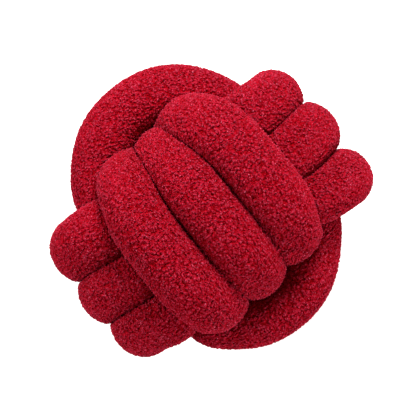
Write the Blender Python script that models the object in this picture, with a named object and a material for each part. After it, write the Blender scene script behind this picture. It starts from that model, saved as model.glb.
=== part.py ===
"""A knot cushion, tied from one long stuffed tube of looped-pile cloth.

The tube is tied as a three-strand ball knot and pressed to the shape of a cushion. In order along the tube:
  - three finger turns round the X axis, whose bends are the three fingers at +Y and the three at -Y,
  - three front turns round the Y axis, over the finger turns: the three strands across the face,
  - one ring turn round the Z axis, outside the front turns and inside the finger turns.
Both ends of the tube taper off inside the knot, where they are sewn down out of sight.

The face looks up, and the cushion rests on the underside of the front turns. X runs along the strands of
the face, Y along the fingers. The tables give heights from the cushion's middle plane, in metres.
"""

import math
from collections import namedtuple

import bpy
import numpy as np

# --- Driving sizes, in metres. ---

TUBE_DIAMETER = 0.058  # where nothing presses on the tube
FLOOR_PRESS = 0.008  # how far the strands underneath are pressed flat
GAP = 0.0018  # left between two passes of the tube that touch
SQUEEZED_PITCH = 0.037  # the least distance between two centrelines, deep in the knot
END_TAPER = 0.050  # length over which each end of the tube closes

# Heights of the centreline above and below the middle plane.
FINGER_RISE = 0.035  # finger turns, at the waist under the front turns
FINGER_CREST = 0.039  # finger turns, where they climb over the ring
FRONT_RISE = 0.078  # front turns, at the middle of the face
FLOOR_DEPTH = FRONT_RISE + TUBE_DIAMETER / 2 - FLOOR_PRESS

# --- The route of the tube's centreline. ---

# A point of the route, how firmly the tube keeps to it, and how fully the tube is stuffed there.
RoutePoint = namedtuple("RoutePoint", "x y z hold girth", defaults=(1.0,))
SHOWN, LED, FREE = 0.30, 0.08, 0.02  # the three degrees of hold

# The finger turns: the X of each at its -Y finger, its shoulders, its waist and its +Y finger, how far out
# its two fingers reach, and how fully the tube is stuffed in its -Y finger, at that finger's foot, at the
# other one's foot and in its +Y finger.
FingerTurn = namedtuple(
    "FingerTurn",
    "minus_x shoulder_x waist_x plus_x minus_reach plus_reach minus_girth minus_foot plus_foot plus_girth",
)
FINGER_TURNS = (
    FingerTurn(-0.0405, -0.0365, -0.033, -0.0370, 0.1235, 0.1205, 1.04, 1.00, 0.88, 0.93),
    FingerTurn(0.0095, 0.0165, 0.004, 0.0115, 0.1280, 0.1250, 0.99, 1.00, 1.00, 1.00),
    FingerTurn(0.0550, 0.0625, 0.041, 0.0675, 0.1240, 0.1265, 1.02, 0.88, 0.79, 0.93),
)
FINGER_SHOULDER = 0.085  # Y at which a finger turn starts to bend down
FINGER_WAIST = 0.035  # Y at which it has drawn in to its waist
FINGER_KNEE = 0.014  # how far back from the tip the bend's 45 degree point lies
FINGER_KNEE_RISE = 0.028
LANE_CHANGE = (0.3, 0.7)  # shares of the way to the next turn's lane, at +Y and -Y of the underside

# The front turns: the Y of each on the face and at its two sides, how far out each side lies, and how far
# the turn leans towards +Y at its -X end.
FrontTurn = namedtuple("FrontTurn", "face_y minus_y plus_y minus_reach plus_reach minus_lean")
FRONT_TURNS = (
    FrontTurn(0.0565, 0.022, 0.050, 0.066, 0.0655, -0.001),
    FrontTurn(0.0, -0.009, -0.003, 0.0510, 0.080, 0.006),
    FrontTurn(-0.0585, -0.046, -0.056, 0.0550, 0.077, 0.009),
)
LEAN_POWER = 2  # how late on the way to its end a front turn starts to lean
# How a front turn comes down: at this share of its reach, this share of its rise is left.
FRONT_PROFILE = ((0.0, 1.0), (0.46, 0.955), (0.80, 0.76), (0.97, 0.35), (1.0, 0.0))
FACE_SHARE = 0.5  # above this share of the rise a front turn shows
UNDERSIDE_SHIFT = -0.012  # the underside's strands lie this far towards -Y

# The ring turn: a flattened oval, a little different at each side.
RING_PLUS_X = 0.1274
RING_MINUS_X = 0.1192
RING_PLUS_Y = 0.080
RING_MINUS_Y = 0.0803
RING_POWER = 2.27
RING_STEP = 20  # degrees between its points
RING_FIRST, RING_LAST = -110, -410

# --- How the passes are eased apart. ---

ROUTE_SPACING = 0.012  # between the points that are moved
CURVE_STEPS = 8  # of the curve between two points of the route
APART_RUN = 0.075  # passes nearer than this along the tube are the same bend
EASE_ROUNDS = 240
PUSH_SHARE = 0.5  # of what is missing, made up in each round
SMOOTH_SHARE = 0.8

# --- The skin. ---

STATION_SPACING = 0.0135  # between the rings of vertices along the tube
STATION_PARTS = 4  # the line that each ring keeps clear of is this much finer
SIDES = 14
MOST_FULL = 1.12  # how much fuller than its own radius the tube may swell where its neighbours press it
BEND_SPREAD = 0.09  # how much wider the tube gets across a bend as tight as its own radius
CREASE_POWER = 9  # how tightly the skin turns from round to flat beside a neighbour
BEND_SHARE = 0.85  # how near to the middle of its own bend the tube's inner side may come
OWN_BEND = 0.9  # in diameters along the tube: what is nearer belongs to the same bend
SAME_PLACE = 0.2  # in diameters along the tube: what is nearer doesn't count
FAR_ENOUGH = 2.4  # in diameters: passes further off don't count
LEAST_FACING = 1e-3  # the cosine under which a neighbour counts as beside, not ahead
FILL_ROUNDS = 4
FILL_BLUR = 5  # stations over which the filling evens out
TIP_SHARE = 0.02  # of the radius, left at the very end of the tube

CLOTH_RED = (0.36, 0.008, 0.024, 1.0)


def finger_bend(turn, side, upwards):
    """A finger turn's bend at +Y (side +1) or -Y (-1), from below round the tip to the face, or back."""
    reach = turn.plus_reach if side > 0 else turn.minus_reach
    tip_x = turn.plus_x if side > 0 else turn.minus_x
    girth = turn.plus_girth if side > 0 else turn.minus_girth
    foot = turn.plus_foot if side > 0 else turn.minus_foot
    shoulder_y = side * FINGER_SHOULDER
    knee_y = side * (reach - FINGER_KNEE)
    points = [
        RoutePoint(turn.shoulder_x, shoulder_y, -FINGER_CREST, LED, foot),
        RoutePoint(tip_x, knee_y, -FINGER_KNEE_RISE, SHOWN, girth),
        RoutePoint(tip_x, side * reach, 0.0, SHOWN, girth),
        RoutePoint(tip_x, knee_y, FINGER_KNEE_RISE, SHOWN, girth),
        RoutePoint(turn.shoulder_x, shoulder_y, FINGER_CREST, SHOWN, foot),
    ]
    return points if upwards else points[::-1]


def finger_turns():
    """From the hidden end, three times round the X axis: up at -Y, across, down at +Y, back below."""
    first = FINGER_TURNS[0]
    points = [
        RoutePoint(first.waist_x - 0.006, -0.030, -FINGER_RISE, FREE),
        RoutePoint(first.shoulder_x, -0.058, -FINGER_RISE, FREE),
    ]
    for number, turn in enumerate(FINGER_TURNS):
        points += finger_bend(turn, -1, upwards=True)
        points.append(RoutePoint(turn.waist_x, -FINGER_WAIST, FINGER_RISE, LED))
        points.append(RoutePoint(turn.waist_x, FINGER_WAIST, FINGER_RISE, LED))
        if turn is FINGER_TURNS[-1]:
            break
        points += finger_bend(turn, +1, upwards=False)
        step = FINGER_TURNS[number + 1].waist_x - turn.waist_x
        for y, share in zip((FINGER_WAIST, -FINGER_WAIST), LANE_CHANGE):
            points.append(RoutePoint(turn.waist_x + share * step, y, -FINGER_RISE, FREE))
    return points


def finger_to_front():
    """The last finger bends down at +Y and swings under the knot, to start the front turns."""
    last, first = FINGER_TURNS[-1], FRONT_TURNS[0]
    return finger_bend(last, +1, upwards=False)[:3] + [
        RoutePoint(last.plus_x - 0.003, last.plus_reach - FINGER_KNEE, -0.031, LED),
        RoutePoint(last.plus_x - 0.014, first.face_y + 0.038, -0.058, FREE),
        RoutePoint(last.plus_x - 0.036, first.face_y + 0.024, -0.075, FREE),
        RoutePoint(0.0, first.face_y + 0.013, -FRONT_RISE, FREE),
    ] + front_quarter(first, -1, -1, 0.004)[1:]


def front_quarter(turn, side, face, extra_y=0.0):
    """A front turn from its middle out to +X or -X (side), over the face (+1) or underneath (-1)."""
    reach = turn.plus_reach if side > 0 else turn.minus_reach
    side_y = turn.plus_y if side > 0 else turn.minus_y
    lean = 0.0 if side > 0 else turn.minus_lean
    points = []
    for out, rise in FRONT_PROFILE:
        y = turn.face_y * rise + side_y * (1 - rise) + extra_y * rise + lean * out**LEAN_POWER
        hold = FREE if face < 0 else SHOWN if rise > FACE_SHARE else LED
        points.append(RoutePoint(side * out * reach, y, face * rise * FRONT_RISE, hold))
    return points


def front_turns():
    """Three times round the Y axis: up at -X, across the face, down at +X, back below to the next turn."""
    points = front_quarter(FRONT_TURNS[0], -1, +1)[-1:]
    for number, turn in enumerate(FRONT_TURNS):
        points += front_quarter(turn, -1, +1)[-2:0:-1]
        points += front_quarter(turn, +1, +1)
        if turn is FRONT_TURNS[-1]:
            break
        following = FRONT_TURNS[number + 1]
        step = following.face_y - turn.face_y
        points += front_quarter(turn, +1, -1, 0.25 * step + UNDERSIDE_SHIFT)[-2:0:-1]
        points.append(RoutePoint(0.0, turn.face_y + 0.5 * step + UNDERSIDE_SHIFT, -FRONT_RISE, FREE))
        points += front_quarter(following, -1, -1, -0.25 * step + UNDERSIDE_SHIFT)[1:]
    return points


def ring_point(degrees, height, hold):
    """A point of the ring's oval. Angle 0 is at +X, and it turns towards +Y."""
    c, s = math.cos(math.radians(degrees)), math.sin(math.radians(degrees))
    x = (RING_PLUS_X if c > 0 else RING_MINUS_X) * math.copysign(abs(c) ** (2 / RING_POWER), c)
    y = (RING_PLUS_Y if s > 0 else RING_MINUS_Y) * math.copysign(abs(s) ** (2 / RING_POWER), s)
    return RoutePoint(x, y, height, hold)


def ring_turn():
    """The last front turn bends in under the fingers at -Y and goes once round as the ring.

    It runs along -Y, -X, +Y and +X, and its end tapers off under the finger that it passed first.
    """
    lane = FRONT_TURNS[-1].face_y
    points = [
        RoutePoint(0.066, lane - 0.013, -0.014, FREE),
        RoutePoint(0.042, lane - 0.020, -0.014, FREE),
        RoutePoint(0.008, -RING_MINUS_Y, -0.008, LED),
    ]
    for degrees in range(RING_FIRST, RING_LAST - RING_STEP, -RING_STEP):
        beside_a_finger = abs(math.cos(math.radians(degrees))) > 0.5
        points.append(ring_point(degrees, 0.0, SHOWN if beside_a_finger else LED))
    points.append(ring_point(RING_LAST - 0.9 * RING_STEP, 0.012, FREE))
    return points


def knot_route():
    """The whole route's own points, in order along the tube."""
    return np.array(finger_turns() + finger_to_front() + front_turns() + ring_turn())


def catmull_rom(points, steps):
    """A smooth curve through the points, with this many steps between one and the next."""
    padded = np.vstack([2 * points[0] - points[1], points, 2 * points[-1] - points[-2]])
    a, b, c, d = padded[:-3], padded[1:-2], padded[2:-1], padded[3:]
    parts = []
    for t in np.arange(steps) / steps:
        bends = (2 * a - 5 * b + 4 * c - d) * t**2 + (3 * b - a - 3 * c + d) * t**3
        parts.append(0.5 * (2 * b + (c - a) * t + bends))
    curve = np.stack(parts, axis=1).reshape(-1, points.shape[1])
    return np.vstack([curve, points[-1:]])


def resample(curve, spacing):
    """The curve at even steps along its length."""
    run = np.concatenate([[0], np.cumsum(np.linalg.norm(np.diff(curve[:, :3], axis=0), axis=1))])
    count = max(2, round(run[-1] / spacing) + 1)
    marks = np.linspace(0, run[-1], count)
    return np.stack([np.interp(marks, run, column) for column in curve.T], axis=1)


def ease_apart(route, spacing):
    """Pushes passes of the tube apart until each has room, while what shows keeps to its line."""
    target, hold = route[:, :3], route[:, 3:4]
    points = target.copy()
    order = np.arange(len(points))
    apart = np.abs(np.subtract.outer(order, order)) > int(APART_RUN / spacing)
    lowest = TUBE_DIAMETER / 2 - FLOOR_PRESS - FLOOR_DEPTH
    for _ in range(EASE_ROUNDS):
        offset = points[:, None] - points[None]
        distance = np.linalg.norm(offset, axis=2) + 1e-9
        short = np.where(apart, np.clip(SQUEEZED_PITCH - distance, 0, None), 0)
        push = (offset / distance[..., None] * short[..., None]).sum(1)
        crowd = np.maximum(1, (short > 0).sum(1, keepdims=True))
        points += PUSH_SHARE * push / crowd
        near, far = points[1:-3] + points[3:-1], points[:-4] + points[4:]
        points[2:-2] += SMOOTH_SHARE * (4 * near - far - 6 * points[2:-2]) / 16
        points += hold * (target - points)
        points[:, 2] = np.maximum(points[:, 2], lowest)
    return np.hstack([points, route[:, 4:]])


def tube_frames(points):
    """The tangent and two cross directions at each point, carried along with no twist."""
    tangents = np.gradient(points, axis=0)
    tangents /= np.linalg.norm(tangents, axis=1, keepdims=True)
    across = np.zeros_like(points)
    start = np.cross(tangents[0], (0, 0, 1))
    across[0] = start / np.linalg.norm(start)
    for i in range(1, len(points)):
        carried = across[i - 1] - tangents[i] * (across[i - 1] @ tangents[i])
        across[i] = carried / np.linalg.norm(carried)
    return tangents, across, np.cross(tangents, across)


def room_around(points, directions, run, girth, others, other_run, other_girth):
    """How far the skin may reach each way.

    Two passes share the way between them, less the gap, by how fully each is stuffed. In its own bend the
    tube stays short of the middle.
    """
    room = np.full(directions.shape[:2], np.inf)
    for i, point in enumerate(points):
        to_other = others - point
        distance = np.linalg.norm(to_other, axis=1)
        along = np.abs(run[i] - other_run) / TUBE_DIAMETER
        near = (distance < FAR_ENOUGH * TUBE_DIAMETER) & (along > SAME_PLACE)
        distance, own_bend = distance[near], along[near] < OWN_BEND
        share = girth[i] / (girth[i] + other_girth[near])
        facing = (to_other[near] / distance[:, None]) @ directions[i].T
        ahead = np.where(own_bend, BEND_SHARE * distance / 2, (distance - GAP) * share)
        reach = ahead[:, None] / np.maximum(facing, LEAST_FACING)
        room[i] = np.where(facing > LEAST_FACING, reach, np.inf).min(0)
    return room


def bend_widths(tangents, directions, spacing):
    """How much wider the tube is each way because it bends: a stuffed tube spreads across its bend."""
    turning = np.gradient(tangents, axis=0) / spacing
    tightness = np.linalg.norm(turning, axis=1, keepdims=True)
    bend_axis = np.cross(tangents, turning) / (tightness + 1e-9)
    crosswise = (directions * bend_axis[:, None]).sum(2) ** 2
    return 1 + BEND_SPREAD * np.clip(tightness * TUBE_DIAMETER / 2, 0, 1) * crosswise


def skin_radii(room, run, girth, widths):
    """The tube's radius each way: round where it is free, flat against a neighbour, as full in area."""
    from_end = np.clip(np.minimum(run, run[-1] - run) / END_TAPER, 0, 1)
    taper = np.sqrt(1 - (1 - from_end) ** 2)
    own = girth * TUBE_DIAMETER / 2
    full = own
    for _ in range(FILL_ROUNDS):
        free = full[:, None] * widths
        radii = (free**-CREASE_POWER + room**-CREASE_POWER) ** (-1 / CREASE_POWER)
        section = np.sqrt((radii**2).mean(1))
        full = np.clip(full * own / section, own, MOST_FULL * own)
        evened = np.pad(full, FILL_BLUR // 2, mode="edge")
        full = np.convolve(evened, np.ones(FILL_BLUR) / FILL_BLUR, mode="valid")
    return radii * np.maximum(taper, TIP_SHARE)[:, None]


def knotted_tube():
    """Vertices and faces of the whole tube: a grid of stations and sides, closed to a tip at each end."""
    route = resample(catmull_rom(knot_route(), CURVE_STEPS), ROUTE_SPACING)
    eased = ease_apart(route, ROUTE_SPACING)
    fine_spacing = STATION_SPACING / STATION_PARTS
    line = resample(catmull_rom(eased, STATION_PARTS), fine_spacing)
    line_run = np.arange(len(line)) * fine_spacing
    at_stations = slice(None, (len(line) - 1) // STATION_PARTS * STATION_PARTS + 1, STATION_PARTS)
    centres, girth, run = line[at_stations, :3], line[at_stations, 3], line_run[at_stations]
    tangents, across, up = tube_frames(centres)
    angles = (np.arange(SIDES) * 2 * math.pi / SIDES)[None, :, None]
    directions = np.cos(angles) * across[:, None] + np.sin(angles) * up[:, None]
    room = room_around(centres, directions, run, girth, line[:, :3], line_run, line[:, 3])
    radii = skin_radii(room, run, girth, bend_widths(tangents, directions, STATION_SPACING))
    skin = (centres[:, None] + directions * radii[..., None])[1:-1]
    vertices = np.vstack([centres[:1], skin.reshape(-1, 3), centres[-1:]])
    vertices[:, 2] = np.maximum(vertices[:, 2] + FLOOR_DEPTH, 0.0)  # pressed flat where it rests
    vertices[:, :2] -= (vertices[:, :2].min(0) + vertices[:, :2].max(0)) / 2
    return vertices, tube_faces(len(skin))


def tube_faces(stations):
    """Quads between neighbouring stations, and a fan of triangles to the tip at each end."""
    def vertex(station, side):
        return 1 + station * SIDES + side % SIDES

    last_tip = 1 + stations * SIDES
    faces = [(0, vertex(0, side + 1), vertex(0, side)) for side in range(SIDES)]
    for station in range(stations - 1):
        for side in range(SIDES):
            here = vertex(station, side), vertex(station, side + 1)
            beyond = vertex(station + 1, side + 1), vertex(station + 1, side)
            faces.append(here + beyond)
    end = stations - 1
    faces += [(last_tip, vertex(end, side), vertex(end, side + 1)) for side in range(SIDES)]
    return faces


def looped_pile_cloth():
    """The red looped-pile cloth that the tube is sewn from."""
    material = bpy.data.materials.new("looped_pile_cloth")
    material.use_nodes = True
    shader = material.node_tree.nodes["Principled BSDF"]
    shader.inputs["Base Color"].default_value = CLOTH_RED
    shader.inputs["Roughness"].default_value = 0.95
    shader.inputs["Metallic"].default_value = 0.0
    return material


def make_knot_cushion():
    vertices, faces = knotted_tube()
    mesh = bpy.data.meshes.new("knotted_tube")
    mesh.from_pydata(vertices.tolist(), [], faces)
    mesh.shade_smooth()
    mesh.materials.append(looped_pile_cloth())
    cushion = bpy.data.objects.new("knotted_tube", mesh)
    bpy.context.scene.collection.objects.link(cushion)


def main():
    for obj in list(bpy.data.objects):
        bpy.data.objects.remove(obj, do_unlink=True)
    make_knot_cushion()


main()
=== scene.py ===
"""The looks of a knot cushion: one stuffed tube of red looped-pile cloth, tied as a flattened ball knot.

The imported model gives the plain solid. Here the same tube is laid along the same route, at the fineness of its
cloth's curls, and cut into a piece for each turn of the knot, or two for the ring. All sizes are in metres.
"""

import math
from collections import namedtuple

import bpy
import numpy as np
from mathutils import Matrix, Vector


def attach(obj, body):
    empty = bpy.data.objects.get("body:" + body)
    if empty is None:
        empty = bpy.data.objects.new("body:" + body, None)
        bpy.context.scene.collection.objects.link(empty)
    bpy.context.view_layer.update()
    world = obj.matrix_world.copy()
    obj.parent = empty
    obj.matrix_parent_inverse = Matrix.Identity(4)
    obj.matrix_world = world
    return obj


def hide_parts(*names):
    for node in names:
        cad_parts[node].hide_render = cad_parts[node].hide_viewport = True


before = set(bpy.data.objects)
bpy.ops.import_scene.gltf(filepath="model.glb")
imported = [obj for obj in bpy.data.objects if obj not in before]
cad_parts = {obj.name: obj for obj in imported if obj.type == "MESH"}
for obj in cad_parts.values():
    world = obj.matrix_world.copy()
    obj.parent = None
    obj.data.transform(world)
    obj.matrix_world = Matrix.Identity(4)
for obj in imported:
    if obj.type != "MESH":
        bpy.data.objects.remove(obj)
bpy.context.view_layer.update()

NODE = "knotted_tube"
SLOT = "looped_pile_cloth"

# --- The tube, as the solid has it. ---

TUBE_DIAMETER = 0.058  # where nothing presses on the tube
FLOOR_PRESS = 0.008  # how far the strands underneath are pressed flat
SQUEEZED_PITCH = 0.037  # the least distance between two centrelines, deep in the knot
END_TAPER = 0.050  # length over which each end of the tube closes

# Heights of the centreline above and below the cushion's middle plane, from which all heights here are measured.
FINGER_RISE = 0.035  # finger turns, at the waist under the front turns
FINGER_CREST = 0.039  # finger turns, where they climb over the ring
FRONT_RISE = 0.078  # front turns, at the middle of the face
FLOOR_DEPTH = FRONT_RISE + TUBE_DIAMETER / 2 - FLOOR_PRESS

# --- The route of its centreline, as the solid has it. ---

# A point of the route, how firmly the tube keeps to it, and how fully the tube is stuffed there.
RoutePoint = namedtuple("RoutePoint", "x y z hold girth", defaults=(1.0,))
SHOWN, LED, FREE = 0.30, 0.08, 0.02  # the three degrees of hold

# The finger turns: the X of each at its -Y finger, its shoulders, its waist and its +Y finger, how far out
# its two fingers reach, and how fully the tube is stuffed in its -Y finger, at that finger's foot, at the
# other one's foot and in its +Y finger.
FingerTurn = namedtuple(
    "FingerTurn",
    "minus_x shoulder_x waist_x plus_x minus_reach plus_reach minus_girth minus_foot plus_foot plus_girth",
)
FINGER_TURNS = (
    FingerTurn(-0.0405, -0.0365, -0.033, -0.0370, 0.1235, 0.1205, 1.04, 1.00, 0.88, 0.93),
    FingerTurn(0.0095, 0.0165, 0.004, 0.0115, 0.1280, 0.1250, 0.99, 1.00, 1.00, 1.00),
    FingerTurn(0.0550, 0.0625, 0.041, 0.0675, 0.1240, 0.1265, 1.02, 0.88, 0.79, 0.93),
)
FINGER_SHOULDER = 0.085  # Y at which a finger turn starts to bend down
FINGER_WAIST = 0.035  # Y at which it has drawn in to its waist
FINGER_KNEE = 0.014  # how far back from the tip the bend's 45 degree point lies
FINGER_KNEE_RISE = 0.028
LANE_CHANGE = (0.3, 0.7)  # shares of the way to the next turn's lane, at +Y and -Y of the underside

# The tube starts underneath: this far to -X of the first turn's waist, and at these Y.
START_INSET = 0.006
START_Y, START_SHOULDER_Y = -0.030, -0.058

# The way from the last finger to the first front turn, underneath: how far inside that finger's X it lies, how
# far beyond that front turn's Y, and how high.
LEAVES_FINGER = (0.003, -0.031)  # as it leaves the finger: inside and height only
UNDERPASS = ((0.014, 0.038, -0.058), (0.036, 0.024, -0.075))
MEETS_FRONT_TURN = 0.013  # beyond, at the middle of the underside
FIRST_FRONT_SHIFT = 0.004  # and on its way up from there

# The front turns: the Y of each on the face and at its two sides, how far out each side lies, and how far
# the turn leans towards +Y at its -X end.
FrontTurn = namedtuple("FrontTurn", "face_y minus_y plus_y minus_reach plus_reach minus_lean")
FRONT_TURNS = (
    FrontTurn(0.0565, 0.022, 0.050, 0.066, 0.0655, -0.001),
    FrontTurn(0.0, -0.009, -0.003, 0.0510, 0.080, 0.006),
    FrontTurn(-0.0585, -0.046, -0.056, 0.0550, 0.077, 0.009),
)
LEAN_POWER = 2  # how late on the way to its end a front turn starts to lean
# How a front turn comes down: at this share of its reach, this share of its rise is left.
FRONT_PROFILE = ((0.0, 1.0), (0.46, 0.955), (0.80, 0.76), (0.97, 0.35), (1.0, 0.0))
FACE_SHARE = 0.5  # above this share of the rise a front turn shows
UNDERSIDE_SHIFT = -0.012  # the underside's strands lie this far towards -Y

# The way from the last front turn into the ring: X, how far to -Y of that front turn, and height.
INTO_RING = ((0.066, 0.013, -0.014), (0.042, 0.020, -0.014))
RING_START_X, RING_START_HEIGHT = 0.008, -0.008

# The ring turn: a flattened oval, a little different at each side.
RING_PLUS_X = 0.1274
RING_MINUS_X = 0.1192
RING_PLUS_Y = 0.080
RING_MINUS_Y = 0.0803
RING_POWER = 2.27
RING_STEP = 20  # degrees between its points
RING_FIRST, RING_LAST = -110, -410
RING_CUT = -270  # its two pieces meet here, out of sight under the fingers
RING_SHOWS = 0.5  # it shows where its angle's cosine is above this
RING_END_STEP, RING_END_HEIGHT = 0.9, 0.012  # steps past its last full point, and height

# --- How the passes are eased apart. ---

ROUTE_SPACING = 0.012  # between the points that are moved
CURVE_STEPS = 8  # of the curve between two points of the route
APART_RUN = 0.075  # passes nearer than this along the tube are the same bend
EASE_ROUNDS = 240
PUSH_SHARE = 0.5  # of what is missing, made up in each round
SMOOTH_SHARE = 0.8
NOT_ZERO = 1e-9  # keeps a division from failing
NO_AREA = 1e-12  # and that of a normal

# --- The skin. ---

MESHED = 0.0034  # how far the piles of two passes that touch reach into each other
MOST_FULL = 1.12  # how much fuller than its own radius the tube may swell where its neighbours press it
BEND_SPREAD = 0.09  # how much wider the tube gets across a bend as tight as its own radius
SIDE_ROUND = 0.0060  # rounding of the crease between strands that lie side by side
CROSSING_ROUND = 0.011  # and between strands that cross
BEND_SHARE = 0.88  # how near to the middle of its own bend the tube's inner side may come
OWN_BEND = 0.9  # in diameters along the tube: what is nearer belongs to the same bend
SAME_PLACE = 0.2  # in diameters along the tube: what is nearer doesn't count
FAR_ENOUGH = 2.4  # in diameters: passes further off don't count
LEAST_FACING = 1e-3  # the cosine under which a neighbour counts as beside, not ahead
FILL_ROUNDS = 4
FILL_RUN = 0.0675  # length over which the filling evens out
TIP_SHARE = 0.02  # of the radius, left at the very end of the tube

LINE_STEPS = 12  # of the fine line between two eased points
LINE_SPACING = 0.001
LINE_BLUR = 9  # points of the line that are averaged
COARSE_STEP = 3  # the skin is worked out at every so many points of the line
COARSE_SIDES = 96
NEIGHBOUR_STEP = 3  # and clear of every so many
CROSSING_BLUR = (7, 5)  # over stations and sides
BEND_BLUR = 9  # coarse stations over which a bend's tightness is evened
FINE_PITCH = 0.00105  # between vertices where the cloth shows
HIDDEN_PITCH = 0.004  # and where it is pressed out of sight
PRESSED = 0.0006  # room left under which the cloth counts as pressed
SHOWS_BLUR = (5, 5)  # over stations and sides
SHOWS_FROM = 0.3  # a station is meshed finely where any place on it shows by more than this share
FULLY_CURLED = 0.5  # the curls reach their whole height at a place that shows by this share
PITCH_BLUR = 9  # points of the line over which the stations' pitch changes
FINE_SIDES = 384  # angles at which a station's vertices are shared out
USUAL_SIDES = 75  # per cent of the stations need no more sides than all are given

# --- The cloth's curls. ---

CURL_PITCH = 0.0026  # between the cells of their pattern
CURL_HEIGHT = 0.0028  # from the pits to the highest curls
CURL_REACH = 0.78  # a curl's edge is this many pitches from its middle
TUFT_PITCH = 0.0016  # smaller tufts are mixed in
TUFT_SHARE = 0.42
CLUMP_PITCH = 0.010  # the curls lie in loose clumps
CLUMP_SHARE = 0.15
DRIFT_PITCH = 0.006
DRIFT = 0.0022  # how far the curls stray from even spacing
CURL_OVERLAP = 0.0008  # how far the curls of touching strands reach into each other
CURL_MIDDLE = 0.7  # the height that lies on the plain skin

# --- The cloth's colours, with painted shade, highlight, glints and sheen. ---

# The pile's colour at heights from its pits to its tips: the cloth's own crimson, with painted shade darkening the
# pits and a painted highlight making the tips brighter and pinker.
PILE_COLOURS_WITH_PAINTED_SHADE = (
    (0.10, (0.30, 0.0005, 0.0030)),
    (0.40, (0.43, 0.0024, 0.0096)),
    (0.70, (0.52, 0.0085, 0.0280)),
    (0.95, (0.60, 0.0400, 0.0880)),
)
PAINTED_GLINT_PINK = (0.95, 0.20, 0.31, 1)  # painted glints: fibres coloured as if they catch the light
PAINTED_SHEEN_PINK = (0.56, 0.064, 0.112, 1)  # painted sheen: the paler pink of fibre ends, mixed in where the cloth is seen along its surface
SHEEN_FROM, MOST_SHEEN = 0.55, 0.20  # from this slant on, and the share of painted sheen pink at the outline
CLOTH_ROUGHNESS = 0.95
FUZZ_WEIGHT, FUZZ_ROUGHNESS, FUZZ_TINT = 0.05, 0.2, (1.0, 0.32, 0.42, 1.0)
CURL_BUMP = 0.0038  # relief of the curls that the mesh is too coarse for
FIBRE_BUMP = 0.0006
FIBRE_SCALE = 900.0  # to the metre
GLINT_SCALE = 800.0
GLINT_FROM, GLINT_FULL = 0.66, 0.74  # of the noise that picks the painted glints

# --- Camera, lights and floor. ---

# The photo looks straight down on the face, turned so that +X points down to the right.
IMAGE_SIDE = 416
SIZE_OF_PIXEL = 0.001  # at the cushion's middle plane
IMAGE_RIGHT = Vector((0.6283, 0.7780, 0.0))
IMAGE_UP = Vector((-0.7780, 0.6283, 0.0))
AIM = IMAGE_RIGHT * 0.0026 + IMAGE_UP * 0.0004  # the image's middle
CAMERA_HEIGHT = 1.5  # above the cushion's middle plane
SENSOR_WIDTH = 36.0  # in millimetres, as Blender has it
FAR_CLIP = 20

# The azimuth in degrees clockwise from the image's top, the elevation, the side and the power of each softbox.
Softbox = namedtuple("Softbox", "name azimuth elevation size power")
SOFTBOXES = (
    Softbox("key", 14, 39, 0.45, 18.0),
    Softbox("left", 272, 29, 0.6, 9.6),
    Softbox("low_right", 134, 14, 0.6, 10.4),
)
LIGHT_DISTANCE = 1.2
LIT_HEIGHT = 0.08  # the softboxes are aimed here
WALL_LIGHT, WALL_SEEN = 0.12, 1.0  # how strongly the studio's wall lights the cushion, and is seen

FLOOR_HALF = 20.0
FLOOR_DROP = 0.0004  # keeps the floor clear of the cushion's flat underside
FLOOR_WHITE = (0.93, 0.93, 0.93, 1)
FLOOR_ROUGHNESS = 0.9
FLOOR_SPECULAR = 0.1
FLOOR_GLOW = 0.72

# The tube's pieces, in order along it.
PIECES = (
    "finger_turn_1",
    "finger_turn_2",
    "finger_turn_3",
    "front_turn_1",
    "front_turn_2",
    "front_turn_3",
    "ring_turn_1",
    "ring_turn_2",
)


def finger_bend(turn, side, upwards):
    """A finger turn's bend at +Y (side +1) or -Y (-1), from below round the tip to the face, or back."""
    reach = turn.plus_reach if side > 0 else turn.minus_reach
    tip_x = turn.plus_x if side > 0 else turn.minus_x
    girth = turn.plus_girth if side > 0 else turn.minus_girth
    foot = turn.plus_foot if side > 0 else turn.minus_foot
    shoulder_y = side * FINGER_SHOULDER
    knee_y = side * (reach - FINGER_KNEE)
    points = [
        RoutePoint(turn.shoulder_x, shoulder_y, -FINGER_CREST, LED, foot),
        RoutePoint(tip_x, knee_y, -FINGER_KNEE_RISE, SHOWN, girth),
        RoutePoint(tip_x, side * reach, 0.0, SHOWN, girth),
        RoutePoint(tip_x, knee_y, FINGER_KNEE_RISE, SHOWN, girth),
        RoutePoint(turn.shoulder_x, shoulder_y, FINGER_CREST, SHOWN, foot),
    ]
    return points if upwards else points[::-1]


def finger_turns():
    """Three times round the X axis: up at -Y, across, down at +Y and back below, a stretch for each turn."""
    first = FINGER_TURNS[0]
    points = [
        RoutePoint(first.waist_x - START_INSET, START_Y, -FINGER_RISE, FREE),
        RoutePoint(first.shoulder_x, START_SHOULDER_Y, -FINGER_RISE, FREE),
    ]
    stretches = []
    for number, turn in enumerate(FINGER_TURNS):
        points += finger_bend(turn, -1, upwards=True)
        points.append(RoutePoint(turn.waist_x, -FINGER_WAIST, FINGER_RISE, LED))
        points.append(RoutePoint(turn.waist_x, FINGER_WAIST, FINGER_RISE, LED))
        if turn is FINGER_TURNS[-1]:
            break
        points += finger_bend(turn, +1, upwards=False)
        step = FINGER_TURNS[number + 1].waist_x - turn.waist_x
        for y, share in zip((FINGER_WAIST, -FINGER_WAIST), LANE_CHANGE):
            points.append(RoutePoint(turn.waist_x + share * step, y, -FINGER_RISE, FREE))
        stretches.append(points)
        points = []
    stretches.append(points + finger_to_front())
    return stretches


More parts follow.
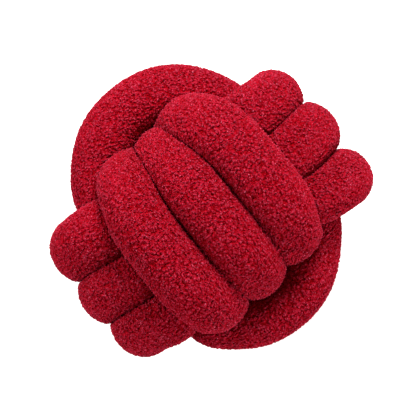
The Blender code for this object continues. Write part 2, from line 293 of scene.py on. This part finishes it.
def finger_to_front():
    """The last finger bends down at +Y and swings under the knot, to start the front turns."""
    last, first = FINGER_TURNS[-1], FRONT_TURNS[0]
    points = finger_bend(last, +1, upwards=False)[:3]
    inside, height = LEAVES_FINGER
    points.append(RoutePoint(last.plus_x - inside, last.plus_reach - FINGER_KNEE, height, LED))
    for inside, beyond, height in UNDERPASS:
        points.append(RoutePoint(last.plus_x - inside, first.face_y + beyond, height, FREE))
    points.append(RoutePoint(0.0, first.face_y + MEETS_FRONT_TURN, -FRONT_RISE, FREE))
    return points + front_quarter(first, -1, -1, FIRST_FRONT_SHIFT)[1:]


def front_quarter(turn, side, face, extra_y=0.0):
    """A front turn from its middle out to +X or -X (side), over the face (+1) or underneath (-1)."""
    reach = turn.plus_reach if side > 0 else turn.minus_reach
    side_y = turn.plus_y if side > 0 else turn.minus_y
    lean = 0.0 if side > 0 else turn.minus_lean
    points = []
    for out, rise in FRONT_PROFILE:
        y = turn.face_y * rise + side_y * (1 - rise) + extra_y * rise + lean * out**LEAN_POWER
        hold = FREE if face < 0 else SHOWN if rise > FACE_SHARE else LED
        points.append(RoutePoint(side * out * reach, y, face * rise * FRONT_RISE, hold))
    return points


def front_turns():
    """Three times round the Y axis: up at -X, across the face, down at +X, back below, a stretch for each."""
    points = front_quarter(FRONT_TURNS[0], -1, +1)[-1:]
    stretches = []
    for number, turn in enumerate(FRONT_TURNS):
        points += front_quarter(turn, -1, +1)[-2:0:-1]
        points += front_quarter(turn, +1, +1)
        if turn is FRONT_TURNS[-1]:
            break
        following = FRONT_TURNS[number + 1]
        step = following.face_y - turn.face_y
        points += front_quarter(turn, +1, -1, step / 4 + UNDERSIDE_SHIFT)[-2:0:-1]
        points.append(RoutePoint(0.0, turn.face_y + step / 2 + UNDERSIDE_SHIFT, -FRONT_RISE, FREE))
        points += front_quarter(following, -1, -1, -step / 4 + UNDERSIDE_SHIFT)[1:]
        stretches.append(points)
        points = []
    stretches.append(points)
    return stretches


def ring_point(degrees, height, hold):
    """A point of the ring's oval. Angle 0 is at +X, and it turns towards +Y."""
    c, s = math.cos(math.radians(degrees)), math.sin(math.radians(degrees))
    x = (RING_PLUS_X if c > 0 else RING_MINUS_X) * math.copysign(abs(c) ** (2 / RING_POWER), c)
    y = (RING_PLUS_Y if s > 0 else RING_MINUS_Y) * math.copysign(abs(s) ** (2 / RING_POWER), s)
    return RoutePoint(x, y, height, hold)


def ring_turn():
    """The last front turn bends in under the fingers at -Y and goes once round as the ring.

    It runs along -Y, -X, +Y and +X, and its end tapers off under the finger that it passed first.
    """
    lane = FRONT_TURNS[-1].face_y
    points = [RoutePoint(x, lane - beyond, height, FREE) for x, beyond, height in INTO_RING]
    points.append(RoutePoint(RING_START_X, -RING_MINUS_Y, RING_START_HEIGHT, LED))
    stretches = []
    for degrees in range(RING_FIRST, RING_LAST - RING_STEP, -RING_STEP):
        if degrees == RING_CUT:
            stretches.append(points)
            points = []
        shows = abs(math.cos(math.radians(degrees))) > RING_SHOWS
        points.append(ring_point(degrees, 0.0, SHOWN if shows else LED))
    points.append(ring_point(RING_LAST - RING_END_STEP * RING_STEP, RING_END_HEIGHT, FREE))
    stretches.append(points)
    return stretches


def knot_route():
    """The whole route's own points in order along the tube, and the number of points in each turn."""
    stretches = finger_turns() + front_turns() + ring_turn()
    return np.array(sum(stretches, [])), [len(points) for points in stretches]


def catmull_rom(points, steps):
    """A smooth curve through the points, with this many steps between one and the next."""
    padded = np.vstack([2 * points[0] - points[1], points, 2 * points[-1] - points[-2]])
    a, b, c, d = padded[:-3], padded[1:-2], padded[2:-1], padded[3:]
    parts = []
    for t in np.arange(steps) / steps:
        bends = (2 * a - 5 * b + 4 * c - d) * t**2 + (3 * b - a - 3 * c + d) * t**3
        parts.append(0.5 * (2 * b + (c - a) * t + bends))
    curve = np.stack(parts, axis=1).reshape(-1, points.shape[1])
    return np.vstack([curve, points[-1:]])


def resample(curve, spacing):
    """The curve at even steps along its length."""
    run = np.concatenate([[0], np.cumsum(np.linalg.norm(np.diff(curve[:, :3], axis=0), axis=1))])
    count = max(2, round(run[-1] / spacing) + 1)
    marks = np.linspace(0, run[-1], count)
    return np.stack([np.interp(marks, run, column) for column in curve.T], axis=1)


def ease_apart(route, spacing):
    """Pushes passes of the tube apart until each has room, while what shows keeps to its line."""
    target, hold = route[:, :3], route[:, 3:4]
    points = target.copy()
    order = np.arange(len(points))
    apart = np.abs(np.subtract.outer(order, order)) > int(APART_RUN / spacing)
    lowest = TUBE_DIAMETER / 2 - FLOOR_PRESS - FLOOR_DEPTH
    for _ in range(EASE_ROUNDS):
        offset = points[:, None] - points[None]
        distance = np.linalg.norm(offset, axis=2) + NOT_ZERO
        short = np.where(apart, np.clip(SQUEEZED_PITCH - distance, 0, None), 0)
        push = (offset / distance[..., None] * short[..., None]).sum(1)
        crowd = np.maximum(1, (short > 0).sum(1, keepdims=True))
        points += PUSH_SHARE * push / crowd
        # Each point is drawn towards the cubic through its two neighbours on each side.
        near, far = points[1:-3] + points[3:-1], points[:-4] + points[4:]
        points[2:-2] += SMOOTH_SHARE * (4 * near - far - 6 * points[2:-2]) / 16
        points += hold * (target - points)
        points[:, 2] = np.maximum(points[:, 2], lowest)
    return np.hstack([points, route[:, 4:]])


def tube_frames(points):
    """The tangent and two cross directions at each point, carried along with no twist."""
    tangents = np.gradient(points, axis=0)
    tangents /= np.linalg.norm(tangents, axis=1, keepdims=True)
    across = np.zeros_like(points)
    start = np.cross(tangents[0], (0, 0, 1))
    across[0] = start / np.linalg.norm(start)
    for i in range(1, len(points)):
        carried = across[i - 1] - tangents[i] * (across[i - 1] @ tangents[i])
        across[i] = carried / np.linalg.norm(carried)
    return tangents, across, np.cross(tangents, across)


def room_around(points, tangents, directions, run, girth, others, other_tangents, other_run, other_girth):
    """How far the skin may reach each way, and how squarely what limits it there lies across the tube.

    Two passes share the way between them by how fully each is stuffed, and reach into each other a little.
    In its own bend the tube stays short of the middle.
    """
    room = np.full(directions.shape[:2], np.inf)
    crossing = np.zeros(directions.shape[:2])
    for i, point in enumerate(points):
        to_other = others - point
        distance = np.linalg.norm(to_other, axis=1)
        along = np.abs(run[i] - other_run) / TUBE_DIAMETER
        near = (distance < FAR_ENOUGH * TUBE_DIAMETER) & (along > SAME_PLACE)
        distance, own_bend = distance[near], along[near] < OWN_BEND
        share = girth[i] / (girth[i] + other_girth[near])
        facing = (to_other[near] / distance[:, None]) @ directions[i].T
        ahead = np.where(own_bend, BEND_SHARE * distance / 2, (distance + MESHED) * share)
        reach = ahead[:, None] / np.maximum(facing, LEAST_FACING)
        reach = np.where(facing > LEAST_FACING, reach, np.inf)
        room[i] = reach.min(0)
        crossing[i] = 1 - np.abs(other_tangents[near] @ tangents[i])[reach.argmin(0)]
    return room, crossing


def bend_widths(tangents, directions, spacing):
    """How much wider the tube is each way because it bends: a stuffed tube spreads across its bend."""
    turning = np.gradient(tangents, axis=0) / spacing
    tightness = np.linalg.norm(turning, axis=1, keepdims=True)
    bend_axis = np.cross(tangents, turning) / (tightness + NOT_ZERO)
    crosswise = (directions * bend_axis[:, None]).sum(2) ** 2
    return 1 + BEND_SPREAD * np.clip(tightness * TUBE_DIAMETER / 2, 0, 1) * crosswise


def averaged(field, along, around=1):
    """A field over stations and sides, averaged over this many of each."""
    for axis, count in ((0, along), (1, around)):
        if count > 1:
            padding = [(0, 0), (0, 0)]
            padding[axis] = (count // 2 + 1, count // 2)
            padded = np.pad(field, padding, mode="wrap" if axis else "edge")
            sums = np.cumsum(padded, axis=axis)
            ends = [slice(None), slice(None)]
            starts = [slice(None), slice(None)]
            ends[axis], starts[axis] = slice(count, None), slice(None, -count)
            field = (sums[tuple(ends)] - sums[tuple(starts)]) / count
    return field


def lesser(a, b, rounding):
    """The lesser of two fields, with the kink between them rounded off."""
    near = np.clip(rounding - np.abs(a - b), 0, None) / rounding
    return np.minimum(a, b) - near**2 * rounding / 4


def skin_radii(room, rounding, run, girth, widths):
    """The tube's radius each way: round where it is free, flat against a neighbour, as full in area."""
    from_end = np.clip(np.minimum(run, run[-1] - run) / END_TAPER, 0, 1)
    taper = np.sqrt(1 - (1 - from_end) ** 2)
    own = girth * TUBE_DIAMETER / 2
    full = own
    blur = round(FILL_RUN / (run[1] - run[0])) | 1
    room = np.minimum(room, TUBE_DIAMETER)
    for _ in range(FILL_ROUNDS):
        radii = lesser(full[:, None] * widths, room, rounding)
        section = np.sqrt((radii**2).mean(1))
        full = np.clip(full * own / section, own, MOST_FULL * own)
        full = averaged(full[:, None], blur)[:, 0]
    return radii * np.maximum(taper, TIP_SHARE)[:, None]


class Tube:
    """The whole tube's line and its smooth skin, worked out once and sampled by each piece."""

    def __init__(self):
        route, counts = knot_route()
        curve = catmull_rom(route, CURVE_STEPS)
        eased = ease_apart(resample(curve, ROUTE_SPACING), ROUTE_SPACING)
        line = resample(catmull_rom(eased, LINE_STEPS), LINE_SPACING)
        line = line[: (len(line) - 1) // COARSE_STEP * COARSE_STEP + 1]
        self.line = averaged(line[:, :3], LINE_BLUR)
        self.run = np.arange(len(self.line)) * LINE_SPACING
        tangents, self.across, self.up = tube_frames(self.line)

        at = slice(None, None, COARSE_STEP)
        self.coarse_run = self.run[at]
        angles = (np.arange(COARSE_SIDES) * 2 * math.pi / COARSE_SIDES)[None, :, None]
        directions = np.cos(angles) * self.across[at, None] + np.sin(angles) * self.up[at, None]
        others = slice(None, None, NEIGHBOUR_STEP)
        girth = line[:, 3]
        passes = self.line[others], tangents[others], self.run[others], girth[others]
        own = self.line[at], tangents[at], directions, self.coarse_run, girth[at]
        self.room, crossing = room_around(*own, *passes)
        rounding = SIDE_ROUND + (CROSSING_ROUND - SIDE_ROUND) * averaged(crossing, *CROSSING_BLUR)
        widths = bend_widths(averaged(tangents[at], BEND_BLUR), directions, COARSE_STEP * LINE_SPACING)
        self.radii = skin_radii(self.room, rounding, self.coarse_run, girth[at], widths)
        self.shows = averaged((self.room - self.radii > PRESSED).astype(float), *SHOWS_BLUR)
        skin = self.line[at, None] + directions * self.radii[..., None]
        self.middle = (skin[..., :2].min((0, 1)) + skin[..., :2].max((0, 1))) / 2

        # Each turn begins at the same share of the length as its first point has on the route.
        lengths = np.concatenate([[0], np.cumsum(np.linalg.norm(np.diff(curve[:, :3], axis=0), axis=1))])
        firsts = np.cumsum([0] + counts[:-1]) * CURVE_STEPS
        self.cuts = np.append(lengths[firsts] / lengths[-1], 1) * self.coarse_run[-1]

    def sample_line(self, run):
        """The centre and the two cross directions at distances along the tube."""
        return [
            np.stack([np.interp(run, self.run, column) for column in field.T], axis=1)
            for field in (self.line, self.across, self.up)
        ]

    def sample_skin(self, field, run, angles):
        """A coarse field at these distances (one for each row) and angles, blended between its points."""
        row = run / (COARSE_STEP * LINE_SPACING)
        low = np.clip(row.astype(int), 0, len(field) - 2)
        share = (row - low)[:, None]
        column = angles / (2 * math.pi) * COARSE_SIDES
        left = np.floor(column).astype(int)
        side_share = column - left
        left %= COARSE_SIDES
        right = (left + 1) % COARSE_SIDES
        low = low[:, None]
        near = field[low, left] * (1 - side_share) + field[low, right] * side_share
        far = field[low + 1, left] * (1 - side_share) + field[low + 1, right] * side_share
        return near * (1 - share) + far * share


def stations_between(tube, start, end):
    """Distances along the tube, close together where any of it shows."""
    marks = np.arange(start, end, LINE_SPACING)
    shows = np.interp(marks, tube.coarse_run, tube.shows.max(1)) > SHOWS_FROM
    density = np.where(shows, 1 / FINE_PITCH, 1 / HIDDEN_PITCH)
    density = averaged(density[:, None], PITCH_BLUR)[:, 0]
    climb = np.concatenate([[0], np.cumsum(density * LINE_SPACING)])
    count = round(climb[-1]) + 1
    return np.interp(np.linspace(0, climb[-1], count), climb, np.append(marks, end))


def angles_for(tube, run):
    """The angles of the vertices at each station, close together where the cloth shows."""
    grid = np.tile(np.arange(FINE_SIDES) * 2 * math.pi / FINE_SIDES, (len(run), 1))
    shows = tube.sample_skin(tube.shows, run, grid)
    arc = tube.sample_skin(tube.radii, run, grid) * 2 * math.pi / FINE_SIDES
    counts = arc * (shows / FINE_PITCH + (1 - shows) / HIDDEN_PITCH)
    sides = round(np.percentile(counts.sum(1), USUAL_SIDES))
    climb = np.hstack([np.zeros((len(run), 1)), np.cumsum(counts, axis=1)])
    edges = np.append(grid[0], 2 * math.pi)
    return np.array([np.interp(np.arange(sides) / sides * row[-1], row, edges) for row in climb])


def add_node(tree, kind, inputs=None, **settings):
    """A new node with these settings; an input is given a value or linked to another node's output."""
    node = tree.nodes.new(kind)
    for name, value in settings.items():
        setattr(node, name, value)
    for name, value in (inputs or {}).items():
        if isinstance(value, bpy.types.NodeSocket):
            tree.links.new(value, node.inputs[name])
        else:
            node.inputs[name].default_value = value
    return node


def domes(tree, place, pitch):
    """Round domes about this far apart, 0 at their edges and 1 on top."""
    cells = add_node(tree, "ShaderNodeTexVoronoi", {"Vector": place, "Scale": 1 / pitch})
    square = add_node(tree, "ShaderNodeMath", {0: cells.outputs["Distance"], 1: 2.0}, operation="POWER")
    fall = {"Value": square.outputs[0], "From Max": CURL_REACH**2, "To Min": 1.0, "To Max": 0.0}
    return add_node(tree, "ShaderNodeMapRange", fall).outputs[0]


def curl_height(tree, place):
    """The height of the curls at a place: one recipe, which shapes the mesh and colours the cloth."""
    drift = add_node(tree, "ShaderNodeTexNoise", {"Vector": place, "Scale": 1 / DRIFT_PITCH, "Detail": 1.0})
    drifted = {0: drift.outputs["Color"], 1: (DRIFT, DRIFT, DRIFT), 2: place}
    strayed = add_node(tree, "ShaderNodeVectorMath", drifted, operation="MULTIPLY_ADD").outputs[0]
    clumps = add_node(tree, "ShaderNodeTexNoise", {"Vector": place, "Scale": 1 / CLUMP_PITCH, "Detail": 1.0})
    curls_and_tufts = {0: TUFT_SHARE, 2: domes(tree, strayed, CURL_PITCH), 3: domes(tree, strayed, TUFT_PITCH)}
    curls = add_node(tree, "ShaderNodeMix", curls_and_tufts)
    raised = {0: clumps.outputs[0], 1: CLUMP_SHARE, 2: -CLUMP_SHARE / 2}
    lift = add_node(tree, "ShaderNodeMath", raised, operation="MULTIPLY_ADD")
    return add_node(tree, "ShaderNodeMath", {0: curls.outputs[0], 1: lift.outputs[0]}, operation="ADD").outputs[0]


def heights_at(points):
    """The height of the curls at each of these points."""
    tree = bpy.data.node_groups.new("curls", "GeometryNodeTree")
    tree.interface.new_socket("Geometry", in_out="INPUT", socket_type="NodeSocketGeometry")
    tree.interface.new_socket("Geometry", in_out="OUTPUT", socket_type="NodeSocketGeometry")
    place = add_node(tree, "GeometryNodeInputPosition").outputs[0]
    given = add_node(tree, "NodeGroupInput").outputs[0]
    stored = {"Geometry": given, "Name": "height", "Value": curl_height(tree, place)}
    kept = add_node(tree, "GeometryNodeStoreNamedAttribute", stored)
    add_node(tree, "NodeGroupOutput", {0: kept.outputs[0]})
    mesh = bpy.data.meshes.new("points")
    mesh.from_pydata(points.tolist(), [], [])
    holder = bpy.data.objects.new("points", mesh)
    bpy.context.scene.collection.objects.link(holder)
    holder.modifiers.new("curls", "NODES").node_group = tree
    made = holder.evaluated_get(bpy.context.evaluated_depsgraph_get())
    heights = np.empty(len(points), np.float32)
    made.data.attributes["height"].data.foreach_get("value", heights)
    bpy.data.objects.remove(holder)
    bpy.data.meshes.remove(mesh)
    bpy.data.node_groups.remove(tree)
    return heights


def grid_normals(grid, outwards):
    """Normals of a grid of stations and sides that is closed round its sides, on the outward side."""
    around = np.roll(grid, -1, axis=1) - np.roll(grid, 1, axis=1)
    normals = np.cross(around, np.gradient(grid, axis=0))
    normals /= np.linalg.norm(normals, axis=2, keepdims=True) + NO_AREA
    return normals * np.sign((normals * outwards).sum())


def curled_skin(tube, run, angles):
    """The skin at these distances and angles: plain, and raised in curls."""
    centre, across, up = tube.sample_line(run)
    directions = np.cos(angles)[..., None] * across[:, None] + np.sin(angles)[..., None] * up[:, None]
    radii = tube.sample_skin(tube.radii, run, angles)
    room = tube.sample_skin(tube.room, run, angles) - radii
    plain = centre[:, None] + directions * radii[..., None]
    heights = heights_at(plain.reshape(-1, 3)).reshape(radii.shape)
    lift = np.minimum((heights - CURL_MIDDLE) * CURL_HEIGHT, room + CURL_OVERLAP)
    lift *= np.clip(tube.sample_skin(tube.shows, run, angles) / FULLY_CURLED, 0, 1)
    return plain, plain + grid_normals(plain, directions) * lift[..., None]


def tube_faces(stations, sides):
    """The faces of a tube of this many stations and sides, whose two ends each close on a last point of their own."""
    index = np.arange(stations * sides).reshape(stations, sides)
    beside = np.roll(index, -1, axis=1)
    quads = np.stack([index[:-1], beside[:-1], beside[1:], index[1:]], axis=-1).reshape(-1, 4)
    first, last = stations * sides, stations * sides + 1
    caps = [(first, b, a) for a, b in zip(index[0].tolist(), beside[0].tolist())]
    caps += [(last, a, b) for a, b in zip(index[-1].tolist(), beside[-1].tolist())]
    return quads.tolist() + caps


def tube_piece(tube, name, start, end, cloth):
    """One turn of the tube as a closed mesh, its cloth raised in curls."""
    run = stations_between(tube, start, end)
    plain, curled = curled_skin(tube, run, angles_for(tube, run))
    end_points = tube.sample_line(run[[0, -1]])[0]
    vertices = np.vstack([curled.reshape(-1, 3), end_points])
    vertices[:, 2] = np.maximum(vertices[:, 2] + FLOOR_DEPTH, 0.0)  # pressed flat where it rests
    vertices[:, :2] -= tube.middle

    mesh = bpy.data.meshes.new(name)
    mesh.from_pydata(vertices.tolist(), [], tube_faces(*curled.shape[:2]))
    mesh.shade_smooth()
    places = np.vstack([plain.reshape(-1, 3), end_points])
    mesh.attributes.new("cloth_place", "FLOAT_VECTOR", "POINT").data.foreach_set("vector", places.ravel())
    mesh.materials.append(cloth)
    piece = bpy.data.objects.new(name, mesh)
    bpy.context.scene.collection.objects.link(piece)
    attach(piece, "root")
    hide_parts(NODE)


def colour_stops(ramp, stops):
    """Gives a colour ramp these positions and colours."""
    elements = ramp.color_ramp.elements
    while len(elements) < len(stops):
        elements.new(0.5)
    for element, (position, colour) in zip(elements, stops):
        element.position = position
        element.color = (*colour, 1)


def looped_pile_cloth():
    """Crimson looped pile: deep red with painted shade in the pits, brighter and pinker with a painted highlight on
    the curls, with painted pink glints of fibre and a painted sheen at the outline.
    """
    material = bpy.data.materials.new(SLOT)
    material.use_nodes = True
    tree = material.node_tree
    shader = tree.nodes["Principled BSDF"]
    shader.inputs["Roughness"].default_value = CLOTH_ROUGHNESS
    shader.inputs["Specular IOR Level"].default_value = 0.0
    shader.inputs["Sheen Weight"].default_value = FUZZ_WEIGHT
    shader.inputs["Sheen Roughness"].default_value = FUZZ_ROUGHNESS
    shader.inputs["Sheen Tint"].default_value = FUZZ_TINT

    place = add_node(tree, "ShaderNodeAttribute", attribute_name="cloth_place").outputs["Vector"]
    height = curl_height(tree, place)
    # Painted shade and highlight: the ramp darkens the pits and makes the curls' tips brighter and pinker, over the
    # cloth's own crimson.
    ramp = add_node(tree, "ShaderNodeValToRGB", {"Fac": height})
    colour_stops(ramp, PILE_COLOURS_WITH_PAINTED_SHADE)

    # Threads too fine for the mesh, as bump, and painted glints: the light that a few of them catch, painted into the
    # colour.
    fibre = add_node(tree, "ShaderNodeTexNoise", {"Vector": place, "Scale": FIBRE_SCALE, "Detail": 2.0})
    glint = add_node(tree, "ShaderNodeTexNoise", {"Vector": place, "Scale": GLINT_SCALE, "Detail": 1.0})
    glint_share = {"Value": glint.outputs[0], "From Min": GLINT_FROM, "From Max": GLINT_FULL}
    painted_glint_share = add_node(tree, "ShaderNodeMapRange", glint_share).outputs[0]
    glints_painted_on_tips = add_node(tree, "ShaderNodeMath", {0: painted_glint_share, 1: height}, operation="MULTIPLY").outputs[0]
    colours = {"Factor": glints_painted_on_tips, "A": ramp.outputs[0], "B": PAINTED_GLINT_PINK}
    coloured = add_node(tree, "ShaderNodeMix", colours, data_type="RGBA").outputs["Result"]

    # Painted sheen: where the cloth is seen along its surface, its colour is mixed towards the fibres' paler pink.
    facing = add_node(tree, "ShaderNodeLayerWeight", {"Blend": 0.5}).outputs["Facing"]
    sheen_share = {"Value": facing, "From Min": SHEEN_FROM, "From Max": 1.0, "To Max": MOST_SHEEN}
    sheen = add_node(tree, "ShaderNodeMapRange", sheen_share).outputs[0]
    sheen_painted_colour = add_node(tree, "ShaderNodeMix", {"Factor": sheen, "A": coloured, "B": PAINTED_SHEEN_PINK}, data_type="RGBA")
    tree.links.new(sheen_painted_colour.outputs["Result"], shader.inputs["Base Color"])

    curls = add_node(tree, "ShaderNodeBump", {"Height": height, "Distance": CURL_BUMP})
    fine = {"Height": fibre.outputs[0], "Distance": FIBRE_BUMP, "Normal": curls.outputs[0]}
    threads = add_node(tree, "ShaderNodeBump", fine)
    tree.links.new(threads.outputs[0], shader.inputs["Normal"])
    return material


def camera():
    """A camera over the cushion's middle that gives the photo's frame."""
    data = bpy.data.cameras.new("camera")
    data.sensor_width = SENSOR_WIDTH
    data.lens = data.sensor_width / 2 * CAMERA_HEIGHT / (IMAGE_SIDE / 2 * SIZE_OF_PIXEL)
    data.clip_end = FAR_CLIP
    view = bpy.data.objects.new("camera", data)
    turned = Matrix((IMAGE_RIGHT, IMAGE_UP, Vector((0, 0, 1)))).transposed().to_4x4()
    view.matrix_world = Matrix.Translation((AIM.x, AIM.y, FLOOR_DEPTH + CAMERA_HEIGHT)) @ turned
    bpy.context.scene.collection.objects.link(view)
    bpy.context.scene.camera = view


def lights():
    """A soft key light from the top of the image, two weaker ones and an even white studio."""
    for box in SOFTBOXES:
        data = bpy.data.lights.new(box.name, "AREA")
        data.size = box.size
        data.energy = box.power
        azimuth, elevation = math.radians(box.azimuth), math.radians(box.elevation)
        level = IMAGE_UP * math.cos(azimuth) + IMAGE_RIGHT * math.sin(azimuth)
        direction = level * math.cos(elevation) + Vector((0, 0, math.sin(elevation)))
        light = bpy.data.objects.new(box.name, data)
        light.location = direction * LIGHT_DISTANCE + Vector((0, 0, LIT_HEIGHT))
        light.rotation_euler = (-direction).to_track_quat("-Z", "Y").to_euler()
        bpy.context.scene.collection.objects.link(light)
    world = bpy.data.worlds.new("studio")
    bpy.context.scene.world = world
    world.use_nodes = True
    tree = world.node_tree
    background = tree.nodes["Background"]
    background.inputs["Color"].default_value = (1, 1, 1, 1)
    # The studio's far wall is seen as white, but lights the cushion only faintly.
    seen = add_node(tree, "ShaderNodeLightPath").outputs["Is Camera Ray"]
    strength = add_node(tree, "ShaderNodeMapRange", {"Value": seen, "To Min": WALL_LIGHT, "To Max": WALL_SEEN})
    tree.links.new(strength.outputs[0], background.inputs["Strength"])


def floor():
    """A plain white floor that glows faintly, which keeps the cushion's shadow light."""
    mesh = bpy.data.meshes.new("floor")
    half = FLOOR_HALF
    square = [(-half, -half, 0), (half, -half, 0), (half, half, 0), (-half, half, 0)]
    mesh.from_pydata(square, [], [(0, 1, 2, 3)])
    ground = bpy.data.objects.new("floor", mesh)
    ground.location.z = -FLOOR_DROP
    material = bpy.data.materials.new("floor")
    material.use_nodes = True
    shader = material.node_tree.nodes["Principled BSDF"]
    shader.inputs["Base Color"].default_value = FLOOR_WHITE
    shader.inputs["Roughness"].default_value = FLOOR_ROUGHNESS
    shader.inputs["Specular IOR Level"].default_value = FLOOR_SPECULAR
    shader.inputs["Emission Color"].default_value = (1, 1, 1, 1)
    shader.inputs["Emission Strength"].default_value = FLOOR_GLOW
    mesh.materials.append(material)
    bpy.context.scene.collection.objects.link(ground)


def cushion():
    """The whole tube, a piece for each turn."""
    tube = Tube()
    cloth = looped_pile_cloth()
    for name, start, end in zip(PIECES, tube.cuts[:-1], tube.cuts[1:]):
        tube_piece(tube, name, start, end, cloth)


bpy.context.scene.view_settings.view_transform = "Standard"
camera()
lights()
floor()
cushion()
